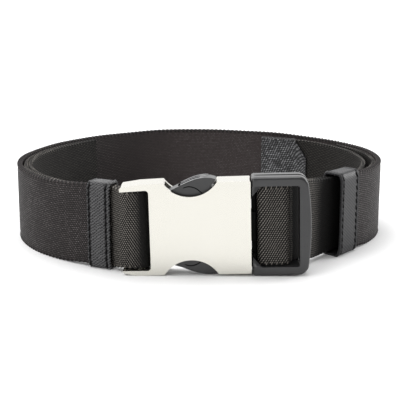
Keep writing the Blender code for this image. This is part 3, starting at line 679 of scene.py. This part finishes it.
def shade_inner_bar(clip, painted_shade):
    """Gives painted shade, a near black with no shine, to the faces of the bar that stands behind the
    housing's edge. Faces that run on past the bar's two ends are cut there first."""
    to_room = buckle_matrix()
    builder = bmesh.new()
    builder.from_mesh(clip.data)
    for u in (HOUSING_RIGHT, INNER_BAR_U):
        bmesh.ops.bisect_plane(builder, geom=builder.verts[:] + builder.edges[:] + builder.faces[:],
                               plane_co=(to_room @ Vector((u, 0.0, 0.0))) * MM,
                               plane_no=to_room.to_3x3() @ Vector((1.0, 0.0, 0.0)))
    builder.to_mesh(clip.data)
    builder.free()
    centres = np.empty(len(clip.data.polygons) * 3)
    clip.data.polygons.foreach_get("center", centres)
    homes = np.linalg.inv(np.array(to_room))
    u, v, w, _ = homes @ np.vstack((centres.reshape(-1, 3).T / MM, np.ones(len(centres) // 3)))
    hidden = (u > HOUSING_RIGHT) & (u < INNER_BAR_U) & (np.abs(v) < INNER_BAR_V) & (w > INNER_BAR_W)
    clip.data.materials.append(painted_shade)
    clip.data.polygons.foreach_set("material_index", hidden.astype(np.int32))


def pad_arc(side):
    """The finger pad's outer arc, from its right end down to the prong, as rows of u and v."""
    crest = HOUSING_HEIGHT / 2 + PAD_PROUD[side]
    curve = spline([(u, crest - drop) for u, drop in PAD_DROPS])
    return np.column_stack((curve[:, 0], side * curve[:, 1]))


def on_pad(side, u_range):
    """The part of a pad's arc within u_range, and its outward normal."""
    arc = pad_arc(side)
    normal = quarter_turned(unit_rows(np.gradient(arc, axis=0)))
    normal *= np.sign(normal[:, 1:2] * side)
    wanted = (arc[:, 0] > u_range[0]) & (arc[:, 0] < u_range[1])
    return arc[wanted], normal[wanted]


def swept_bar(name, arc, normal, w, halves, material):
    """A round-topped bar along an arc of u and v at depth w. Point = arc + normal * half height *
    sin(a) + depth axis * half width * cos(a), where both halves shrink to BAR_END at the ends."""
    half_wide, half_high = halves
    a = np.linspace(0.0, 2.0 * np.pi, BAR_SIDES, endpoint=False)
    t = np.linspace(-1.0, 1.0, len(arc))
    taper = (BAR_END + (1.0 - BAR_END) * np.sqrt(np.maximum(1.0 - t ** 6, 0.0)))[:, None]
    u = arc[:, 0:1] + normal[:, 0:1] * half_high * np.sin(a) * taper
    v = arc[:, 1:2] + normal[:, 1:2] * half_high * np.sin(a) * taper
    quads, _ = grid_quads(*u.shape, False, True)
    ends = end_faces(*u.shape)
    return new_piece(name, buckle_places(u, v, w + half_wide * np.cos(a) * taper).reshape(-1, 3),
                     [quads, ends], np.zeros((quads.size + ends.size, 2)), material)


def pad_ribs(place, side, bed, ridge):
    """A bed of painted shade along the left half of a finger pad's top and three thin ridges on it, pale
    with painted highlight, each of which runs 1 mm further right than the one in front of it."""
    arc, normal = on_pad(side, RIB_BED_U)
    front, back = PRONG_W
    middle = (front + back) / 2
    halves = ((back - front) / 2 - RIB_BED_INSET, RIB_BED_HALF_HIGH)
    swept_bar(f"{place}_rib_bed", arc, normal, middle, halves, bed)
    for index, w in enumerate((front + RIB_INSET, middle, back - RIB_INSET), start=1):
        arc, normal = on_pad(side, (RIB_START_U, RIB_END_U + index))
        swept_bar(f"{place}_rib_{index}", arc + RIB_RAISE * normal, normal, w, RIB_HALVES, ridge)


def frame_groove(material):
    """A thin line of painted shade along the frame's top, as the shade in a groove, level and then round
    its right corner: an arc of FRAME_CORNER_RADIUS from 90 down to 20 degrees."""
    a = np.radians(np.linspace(90.0, 20.0, 12))
    corner = np.column_stack((FRAME_CORNER_U + FRAME_CORNER_RADIUS * np.cos(a),
                              FRAME_CORNER_V + FRAME_CORNER_RADIUS * np.sin(a)))
    u = np.linspace(*FRAME_LINE_U, 30)
    arc = np.vstack((np.column_stack((u, np.full(len(u), FRAME_LINE_V))), corner))
    normal = quarter_turned(unit_rows(np.gradient(arc, axis=0)))
    swept_bar("frame_groove", arc, normal, FRAME_LINE_W, FRAME_LINE_HALVES, material)


def pad_crease(place, side, material):
    """The curved crease on the front of a finger pad: a thin bar of painted shade along an arc of u and
    v, which the lower pad has upside down and as much lower as it is less proud."""
    bend = spline(CREASE_ARC) + np.array((0.0, PAD_PROUD[side] - PAD_PROUD[1]))
    flip = np.array((1.0, side))
    normal = quarter_turned(unit_rows(np.gradient(bend, axis=0))) * flip
    swept_bar(f"{place}_pad_crease", bend * flip, normal, PRONG_W[0], CREASE_HALVES, material)


# Materials

def material_with(name):
    """A new material, its node tree and its Principled shader."""
    made = bpy.data.materials.new(name)
    made.use_nodes = True
    return made, made.node_tree, made.node_tree.nodes["Principled BSDF"]


def feed(tree, socket, value):
    """Gives an input its value: a link where the value is a socket, and else a number or colour."""
    if isinstance(value, bpy.types.NodeSocket):
        tree.links.new(value, socket)
    else:
        socket.default_value = value


def fed(tree, node, **values):
    """The node with its named inputs fed. An underscore in a name stands for a space."""
    for label, value in values.items():
        feed(tree, node.inputs[label.replace("_", " ")], value)
    return node


class Maths:
    """Chains math nodes in one node tree."""

    def __init__(self, tree):
        """Keeps the tree that the nodes go into."""
        self.tree = tree

    def __call__(self, operation, *values):
        """Adds a node that works on the values, and gives its output socket."""
        node = self.tree.nodes.new("ShaderNodeMath")
        node.operation = operation
        for socket, value in zip(node.inputs, values):
            feed(self.tree, socket, value)
        return node.outputs[0]


def new_group(name, outputs, **inputs):
    """A shader group with float outputs and named inputs: a vector where the value is None, and
    else a float that starts at the value. Gives the group, its inputs' sockets and its end."""
    group = bpy.data.node_groups.new(name, "ShaderNodeTree")
    for label, value in inputs.items():
        kind = "NodeSocketVector" if value is None else "NodeSocketFloat"
        socket = group.interface.new_socket(label.replace("_", " "), in_out="INPUT", socket_type=kind)
        if value is not None:
            socket.default_value = value
    for label in outputs:
        group.interface.new_socket(label, in_out="OUTPUT", socket_type="NodeSocketFloat")
    return group, group.nodes.new("NodeGroupInput").outputs, group.nodes.new("NodeGroupOutput")


def noise(tree, vector, scale, detail):
    """Noise of a position, at a scale in turns per metre."""
    made = tree.nodes.new("ShaderNodeTexNoise")
    return fed(tree, made, Vector=vector, Scale=scale, Detail=detail).outputs["Fac"]


def counted(maths, split, axis, pitch):
    """A part of a map in metres, counted in pitches of so many mm."""
    return maths("DIVIDE", maths("MULTIPLY", split.outputs[axis], 1.0 / MM), pitch)


def weave_group():
    """Staggered rows of short slanting floats. Inside a cell, Height is one less the squares of
    the slanted along part and of the up part; Tint is a chance for each float."""
    group, given, out = new_group("slanting weave", ("Height", "Tint"), Map=None, Float_pitch=0.9,
                                  Row_pitch=0.9, Stagger=0.5, Slant=0.6, Along_thinness=2.0,
                                  Up_thinness=1.0)
    maths = Maths(group)
    split = fed(group, group.nodes.new("ShaderNodeSeparateXYZ"), Vector=given["Map"])
    rows = counted(maths, split, "Y", given["Row pitch"])
    row = maths("FLOOR", rows)
    along = counted(maths, split, "X", given["Float pitch"])
    shifted = maths("ADD", along, maths("MULTIPLY", row, given["Stagger"]))
    q = maths("MULTIPLY_ADD", maths("FRACT", rows), 2.0, -1.0)
    p = maths("MULTIPLY_ADD", maths("FRACT", shifted), 2.0, -1.0)
    leaned = maths("SUBTRACT", p, maths("MULTIPLY", q, given["Slant"]))
    across = maths("MULTIPLY", maths("MULTIPLY", leaned, leaned), given["Along thinness"])
    upward = maths("MULTIPLY", maths("MULTIPLY", q, q), given["Up thinness"])
    height = maths("MAXIMUM", maths("SUBTRACT", 1.0, maths("ADD", across, upward)), 0.0)
    cell = fed(group, group.nodes.new("ShaderNodeCombineXYZ"), X=maths("FLOOR", shifted), Y=row)
    chance = group.nodes.new("ShaderNodeTexWhiteNoise")
    chance.noise_dimensions = "2D"
    fed(group, chance, Vector=cell.outputs["Vector"])
    fed(group, out, Height=height, Tint=chance.outputs["Value"])
    return group


def hatch_group():
    """Pressed cross-hatch grain. Height is the higher of two sets of slanting ridges, each a power
    of a raised sine that a little noise bends, times that noise; Wear is a broad noise."""
    group, given, out = new_group("pressed hatch grain", ("Height", "Wear"), Map=None, Pitch=1.1,
                                  Wander=0.35)
    maths = Maths(group)
    fine = noise(group, given["Map"], 420.0, 3.0)
    wander = maths("MULTIPLY", maths("SUBTRACT", fine, 0.5), given["Wander"])
    split = fed(group, group.nodes.new("ShaderNodeSeparateXYZ"), Vector=given["Map"])
    x, y = (counted(maths, split, axis, given["Pitch"]) for axis in "XY")
    ridges = []
    for slant in (0.75, -0.75):
        line = maths("ADD", maths("MULTIPLY_ADD", x, slant, y), wander)
        wave = maths("MULTIPLY_ADD", maths("SINE", maths("MULTIPLY", line, math.tau * 0.8)), 0.5, 0.5)
        ridges.append(maths("POWER", wave, 1.4))
    crossed = maths("MULTIPLY", maths("MAXIMUM", ridges[0], maths("MULTIPLY", ridges[1], 0.6)),
                    maths("MULTIPLY_ADD", fine, 0.8, 0.55))
    fed(group, out, Height=crossed, Wear=noise(group, given["Map"], 70.0, 4.0))
    return group


def mottle_group():
    """Slow variation over a surface in object space: a broad and a fine noise."""
    group, given, out = new_group("mottle", ("Broad", "Fine"), Broad_scale=40.0, Fine_scale=900.0)
    place = group.nodes.new("ShaderNodeTexCoord").outputs["Object"]
    fed(group, out, Broad=noise(group, place, given["Broad scale"], 4.0),
        Fine=noise(group, place, given["Fine scale"], 4.0))
    return group


def put_group(tree, group, **values):
    """The outputs of a group that is placed in a material with its own input values."""
    node = tree.nodes.new("ShaderNodeGroup")
    node.node_tree = group
    return fed(tree, node, **values).outputs


def colour(tree, shader, factor, *stops):
    """Base colour from a factor, through stops of position and colour."""
    ramp = tree.nodes.new("ShaderNodeValToRGB")
    elements = ramp.color_ramp.elements
    while len(elements) < len(stops):
        elements.new(0.5)
    for element, (position, tone) in zip(elements, stops):
        element.position = position
        element.color = (*tone, 1.0)
    fed(tree, ramp, Fac=factor)
    fed(tree, shader, Base_Color=ramp.outputs["Color"])


def cloth_map(tree, group, **values):
    """The outputs of a group fed with the cloth UVs, and the socket of the piece's marks."""
    uv = tree.nodes.new("ShaderNodeUVMap")
    uv.uv_map = "cloth"
    mark = tree.nodes.new("ShaderNodeAttribute")
    mark.attribute_name = "mark"
    return put_group(tree, group, Map=uv.outputs["UV"], **values), mark.outputs["Fac"]


def add_bump(tree, shader, height, strength, distance):
    """Tilts the shader's normal by the slope of a height, which is distance metres deep."""
    bump = fed(tree, tree.nodes.new("ShaderNodeBump"), Strength=strength, Distance=distance, Height=height)
    fed(tree, shader, Normal=bump.outputs["Normal"])


def nylon(name, dark, light, selvage, variety, depth, **weave_values):
    """Woven nylon: dark between the floats, lighter on top of them, partly as painted highlight, and
    lighter along the selvages with painted highlight. Marks above 0 are painted light: they add to the
    tone and flatten the floats. Marks below 0 are painted shade: they dim the floats, down to the dark
    at -1, with a little even tone halfway."""
    made, tree, shader = material_with(name)
    maths = Maths(tree)
    weave, mark = cloth_map(tree, WEAVE, **weave_values)
    mottle = put_group(tree, MOTTLE, Broad_scale=60.0, Fine_scale=1500.0)
    chance = maths("MULTIPLY_ADD", weave["Tint"], variety, 1.0 - variety / 2.0)
    drift = maths("MULTIPLY_ADD", mottle["Broad"], 0.6, 0.7)
    # Painted shade: marks below 0 dim the floats, with a little even tone halfway.
    shade = maths("MINIMUM", mark, 0.0)
    open_to_light = maths("ADD", shade, 1.0)
    even = maths("MULTIPLY", maths("MULTIPLY", shade, open_to_light), -0.14)
    # The floats' tone: the weave's pattern, partly as painted highlight.
    lit = maths("MULTIPLY", maths("MULTIPLY", weave["Height"], chance), drift)
    # Painted light: marks above 0, the selvages' highlights and the paler inner side, lift the tone towards
    # the selvage colour and flatten the floats.
    pale = maths("MAXIMUM", mark, 0.0)
    flatter = maths("MULTIPLY_ADD", maths("MINIMUM", pale, 0.3), -2.0, 1.0)
    lit = maths("MULTIPLY", lit, maths("MULTIPLY", open_to_light, flatter))
    edge = maths("MULTIPLY", pale, maths("MULTIPLY_ADD", mottle["Fine"], 0.8, 0.3))
    level = maths("ADD", maths("MULTIPLY_ADD", lit, 0.6, even), maths("MULTIPLY", edge, 0.9))
    colour(tree, shader, level, (0.03, dark), (0.55, light), (0.9, selvage))
    fed(tree, shader, Roughness=maths("MULTIPLY_ADD", lit, -0.3, 0.75), Specular_IOR_Level=0.2)
    add_bump(tree, shader, weave["Height"], 0.8, depth * MM)
    return made


def leather(name, dark, light, pitch, depth, wander, relief):
    """Pressed leather: hatch in the height, darker in its valleys and in the marked seams. The
    relief is the hatch's share in the tone, and the rest is slow wear."""
    made, tree, shader = material_with(name)
    maths = Maths(tree)
    grain, mark = cloth_map(tree, HATCH, Pitch=pitch, Wander=wander)
    mix = maths("MULTIPLY_ADD", grain["Wear"], 1.0 - relief,
                maths("MULTIPLY", grain["Height"], relief))
    mix = maths("MULTIPLY", mix, maths("MULTIPLY_ADD", maths("MAXIMUM", mark, 0.0), -0.6, 0.6))
    # Marks below 0, on the keepers' tops, lift the tone towards the top of the ramp: painted highlight.
    level = maths("MULTIPLY_ADD", maths("MINIMUM", mark, 0.0), -0.5, mix)
    colour(tree, shader, level, (0.06, dark), (0.51, light), (1.0, WORN_AND_HIGHLIGHT_LEATHER))
    fed(tree, shader, Roughness=maths("MULTIPLY_ADD", grain["Height"], -0.15, 0.52),
        Specular_IOR_Level=0.28)
    add_bump(tree, shader, grain["Height"], 0.8, depth * MM)
    return made


def speckled_leather():
    """Coarse pressed lattice: dark leather with paler worn tops in slanting rows."""
    made, tree, shader = material_with("cap_leather")
    maths = Maths(tree)
    lattice, mark = cloth_map(tree, WEAVE, **CAP_LATTICE)
    chance = maths("POWER", lattice["Tint"], 1.5)
    lit = maths("MULTIPLY", lattice["Height"], maths("MULTIPLY_ADD", chance, 0.9, 0.25))
    # Marks lift the edges where their turns are, as painted highlight, and dim them between, as painted
    # shade.
    level = maths("MULTIPLY_ADD", mark, 0.3, lit)
    colour(tree, shader, level, (0.05, CAP_DARK), (0.8, CAP_WORN))
    fed(tree, shader, Roughness=0.5, Specular_IOR_Level=0.3)
    add_bump(tree, shader, lattice["Height"], 0.9, 0.16 * MM)
    return made


def thread():
    """Black thread, mottled finely between two near blacks."""
    made, tree, shader = material_with("black_thread")
    mottle = put_group(tree, MOTTLE, Fine_scale=3000.0)
    colour(tree, shader, mottle["Fine"], (0.3, THREAD_DARK), (0.8, THREAD_LIGHT))
    fed(tree, shader, Roughness=0.8, Specular_IOR_Level=0.1)
    return made


def pale_metal():
    """Pale satin metal with a trace of slow colour drift."""
    made, tree, shader = material_with("pale_metal")
    mottle = put_group(tree, MOTTLE, Broad_scale=25.0)
    colour(tree, shader, mottle["Broad"], (0.3, PALE_DARK), (0.7, PALE_LIGHT))
    fed(tree, shader, Roughness=0.26, Metallic=1.0)
    return made


def dark_metal(name, dark, light, roughness, specular):
    """Dark coated metal: fine pebbling and a faint slow change of tone."""
    made, tree, shader = material_with(name)
    maths = Maths(tree)
    mottle = put_group(tree, MOTTLE, Broad_scale=60.0, Fine_scale=2500.0)
    colour(tree, shader, mottle["Broad"], (0.3, dark), (0.7, light))
    fed(tree, shader, Roughness=maths("MULTIPLY_ADD", mottle["Fine"], 0.12, roughness),
        Specular_IOR_Level=specular)
    add_bump(tree, shader, mottle["Fine"], 0.12, 0.03 * MM)
    return made


# Studio

def studio():
    """Pale floor, an even pale sky, a broad soft sun from above and behind, and large soft boxes."""
    scene = bpy.context.scene
    scene.view_settings.view_transform = "Standard"
    world = bpy.data.worlds.new("studio")
    world.use_nodes = True
    fed(world.node_tree, world.node_tree.nodes["Background"], Color=(1.0, 1.0, 1.0, 1.0),
        Strength=SKY_STRENGTH)
    scene.world = world
    floor_mesh = bpy.data.meshes.new("floor")
    corners = [(x * FLOOR_REACH, y * FLOOR_REACH, 0.0) for x, y in ((-1, -1), (1, -1), (1, 1), (-1, 1))]
    floor_mesh.from_pydata(corners, [], [(0, 1, 2, 3)])
    floor_look, tree, shader = material_with("studio_floor")
    fed(tree, shader, Base_Color=(FLOOR_TONE, FLOOR_TONE, FLOOR_TONE, 1.0), Roughness=0.9)
    floor_mesh.materials.append(floor_look)
    floor = placed("floor", floor_mesh)
    sun = bpy.data.lights.new("soft sun", "SUN")
    sun.energy = SUN_STRENGTH
    sun.angle = math.radians(SUN_SPREAD)
    hold_light(sun, SUN_PLACE, (0.0, 0.0, 0.0))
    for name, place, aim, size, power in SOFTBOXES:
        lamp = bpy.data.lights.new(name, "AREA")
        lamp.shape = "RECTANGLE"
        lamp.size, lamp.size_y = size
        lamp.energy = power
        hold_light(lamp, place, aim)


def hold_light(lamp, place, aim):
    """Stands a lamp at a place and turns it toward its aim."""
    holder = placed(lamp.name, lamp)
    holder.location = place
    holder.rotation_euler = (Vector(aim) - Vector(place)).to_track_quat("-Z", "Y").to_euler()


def camera():
    """The photo's camera: in front of the buckle, above it, and pitched down."""
    lens = bpy.data.cameras.new("camera")
    lens.sensor_width = CAMERA_FRAME
    lens.lens = CAMERA_LENS
    lens.clip_start = 0.02
    lens.clip_end = 60.0
    holder = placed("camera", lens)
    holder.location = Vector(CAMERA_PLACE) * MM
    holder.rotation_euler = (math.radians(90.0 - CAMERA_PITCH), 0.0, 0.0)
    bpy.context.scene.camera = holder


def straps():
    """The three straps and the cap, which is a strap that is folded over the free end."""
    strap_cloth = nylon("nylon_strap", **STRAP_CLOTH)
    webbing_cloth = nylon("nylon_webbing", **WEBBING_CLOTH)
    strap_piece("strap_weave", strap_route(), STRAP_THICK, STRAP_ROPE, strap_cloth,
                "outer_strap", wave=STRAP_WAVE, painted_light_inside=PAINTED_LIGHT_INSIDE)
    strap_piece("buckle_webbing_weave", buckle_webbing_route(), WEBBING_THICK, WEBBING_ROPE, webbing_cloth,
                "buckle_webbing", painted_shades=(PIN_PAINTED_SHADE, LEFT_INSIDE_PAINTED_SHADE, LEFT_END_PAINTED_SHADE))
    strap_piece("adjuster_webbing_weave", adjuster_route(), WEBBING_THICK, WEBBING_ROPE, webbing_cloth,
                "adjuster_webbing", painted_shades=(SLOT_PAINTED_SHADE, KEEPER_PAINTED_SHADE, RIGHT_INSIDE_PAINTED_SHADE))
    strap_piece("cap_leather", cap_route(), CAP_WALL, PLAIN_EDGE, speckled_leather(),
                "tip_cap")


def keepers():
    """The two keepers and their stitches. A shape is the keeper's span in degrees, its insets and
    the swell of its mouth. A seam's place counts from the far rim or from the mouth."""
    black_thread = thread()
    for node, shape, (from_rim, from_mouth), leather_name, look in (
            ("left_keeper", (LEFT_KEEPER, LEFT_KEEPER_INSETS, LEFT_MOUTH_EXTRA), LEFT_SEAMS,
             "grained_leather", LEFT_LEATHER),
            ("right_keeper", (RIGHT_KEEPER[::-1], RIGHT_KEEPER_INSETS, RIGHT_MOUTH_EXTRA), RIGHT_SEAMS,
             "soft_grained_leather", RIGHT_LEATHER)):
        seams = (from_rim, keeper_length(shape) - from_mouth)
        keeper_piece(node, shape, seams, leather(leather_name, **look))
        keeper_stitches(node, shape, seams, black_thread)


def buckle():
    """The housing, the clip, the line on its frame, and the ribs and creases of its pads."""
    smooth_copy("buckle_housing", "housing_metal", pale_metal())
    coating = dark_metal("dark_metal", *COATING)
    # Painted shade: a near black with no shine for the bar behind the housing's edge, the frame's line and
    # the pads' beds and creases.
    painted_shade = dark_metal("painted_shade_dark_metal", *PAINTED_SHADE_COATING)
    # Painted highlight: the pale shiny coat of the pads' ribs.
    worn = dark_metal("ridge_highlight_dark_metal", *RIDGE_HIGHLIGHT_COATING)
    clip = smooth_copy("buckle_clip", "clip_metal", coating)
    shade_inner_bar(clip, painted_shade)
    frame_groove(painted_shade)
    for side, place in ((1, "top"), (-1, "bottom")):
        pad_ribs(place, side, painted_shade, worn)
        pad_crease(place, side, painted_shade)


WEAVE, HATCH, MOTTLE = weave_group(), hatch_group(), mottle_group()
camera()
studio()
straps()
keepers()
buckle()
bpy.context.view_layer.update()
